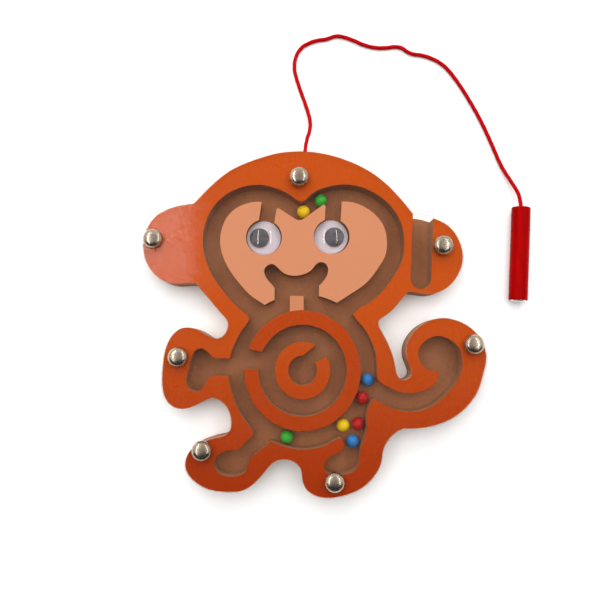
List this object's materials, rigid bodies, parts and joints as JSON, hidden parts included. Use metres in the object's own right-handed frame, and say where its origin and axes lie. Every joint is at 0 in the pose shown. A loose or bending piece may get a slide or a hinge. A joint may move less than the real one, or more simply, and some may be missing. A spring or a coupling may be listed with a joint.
{
  "type": "magnetic maze board",
  "caption": "Monkey-shaped wooden maze board with painted steel beads in channels under a clear nailed cover, googly eyes and a magnetic wand on a red cord.",
  "frame": {"origin": "middle of the board's outline on its back face, which lies on the table", "axes": "+Z out of the back face towards the clear cover, +Y towards the animal's head, +X towards its tail and wand slot"},
  "size_m": [0.1663, 0.202, 0.017],
  "materials": {
    "back_mdf": "matte",
    "orange_mdf": "satin",
    "peach_mdf": "satin",
    "clear_acrylic": "polished",
    "nail_nickel": "satin",
    "yellow_paint": "gloss",
    "green_paint": "gloss",
    "blue_paint": "gloss",
    "red_paint": "gloss",
    "eye_white": "gloss",
    "pupil_black": "gloss",
    "eye_clear": "polished",
    "red_cord": "matte",
    "wand_red": "gloss",
    "magnet_nickel": "polished"
  },
  "bodies": {
    "board": {"back_board": "back_mdf", "maze_frame": "orange_mdf", "face_plate": "peach_mdf", "outer_ring_wall": "orange_mdf", "inner_ring_wall": "orange_mdf", "clear_cover": "clear_acrylic", "left_eye_back": "eye_white", "left_eye_dome": "eye_clear", "right_eye_back": "eye_white", "right_eye_dome": "eye_clear", "tether_cord": "red_cord", "nail_top": "nail_nickel", "nail_left_ear": "nail_nickel", "nail_right_ear": "nail_nickel", "nail_left_arm": "nail_nickel", "nail_left_leg": "nail_nickel", "nail_right_leg": "nail_nickel", "nail_tail": "nail_nickel"},
    "yellow_bead_head": {"yellow_bead_head": "yellow_paint"},
    "green_bead_head": {"green_bead_head": "green_paint"},
    "blue_bead_side": {"blue_bead_side": "blue_paint"},
    "red_bead_side": {"red_bead_side": "red_paint"},
    "yellow_bead_belly": {"yellow_bead_belly": "yellow_paint"},
    "green_bead_belly": {"green_bead_belly": "green_paint"},
    "red_bead_leg": {"red_bead_leg": "red_paint"},
    "blue_bead_leg": {"blue_bead_leg": "blue_paint"},
    "left_pupil": {"left_pupil": "pupil_black"},
    "right_pupil": {"right_pupil": "pupil_black"},
    "wand": {"wand_body": "wand_red", "wand_magnet": "magnet_nickel"}
  },
  "joints": [
    {"name": "yellow_bead_head_roll", "type": "hinge", "parent": "board", "child": "yellow_bead_head", "pos_m": [-0.00342, 0.06348, 0.0061], "axis": [0, 0, 1], "range_deg": [-44, 0]},
    {"name": "green_bead_head_roll", "type": "hinge", "parent": "board", "child": "green_bead_head", "pos_m": [0.01244, 0.03072, 0.0061], "axis": [0, 0, 1], "range_deg": [-63, 0]},
    {"name": "blue_bead_side_roll", "type": "hinge", "parent": "board", "child": "blue_bead_side", "pos_m": [-0.00676, -0.02113, 0.0061], "axis": [0, 0, 1], "range_deg": [0, 63]},
    {"name": "red_bead_side_roll", "type": "hinge", "parent": "board", "child": "red_bead_side", "pos_m": [-0.013, -0.01854, 0.0061], "axis": [0, 0, 1], "range_deg": [-2, 3.2]},
    {"name": "yellow_bead_belly_roll", "type": "hinge", "parent": "board", "child": "yellow_bead_belly", "pos_m": [-0.00965, -0.00583, 0.0061], "axis": [0, 0, 1], "range_deg": [-21, 0]},
    {"name": "green_bead_belly_roll", "type": "hinge", "parent": "board", "child": "green_bead_belly", "pos_m": [-0.00408, -0.02154, 0.0061], "axis": [0, 0, 1], "range_deg": [-53, 0]},
    {"name": "red_bead_leg_roll", "type": "hinge", "parent": "board", "child": "red_bead_leg", "pos_m": [-0.00889, -0.04889, 0.0061], "axis": [0, 0, 1], "range_deg": [0, 5.5]},
    {"name": "blue_bead_leg_roll", "type": "hinge", "parent": "board", "child": "blue_bead_leg", "pos_m": [-0.00304, -0.04498, 0.0061], "axis": [0, 0, 1], "range_deg": [-25.5, 0]},
    {"name": "left_pupil_spin", "type": "hinge", "parent": "board", "child": "left_pupil", "pos_m": [-0.02117, 0.03564, 0.00915], "axis": [0, 0, 1], "continuous": true},
    {"name": "right_pupil_spin", "type": "hinge", "parent": "board", "child": "right_pupil", "pos_m": [0.00742, 0.03603, 0.00915], "axis": [0, 0, 1], "continuous": true},
    {"name": "wand_lift", "type": "slide", "parent": "board", "child": "wand", "axis": [0, 0, 1], "range_m": [0, 0.12], "deforming": ["tether_cord"]}
  ]
}
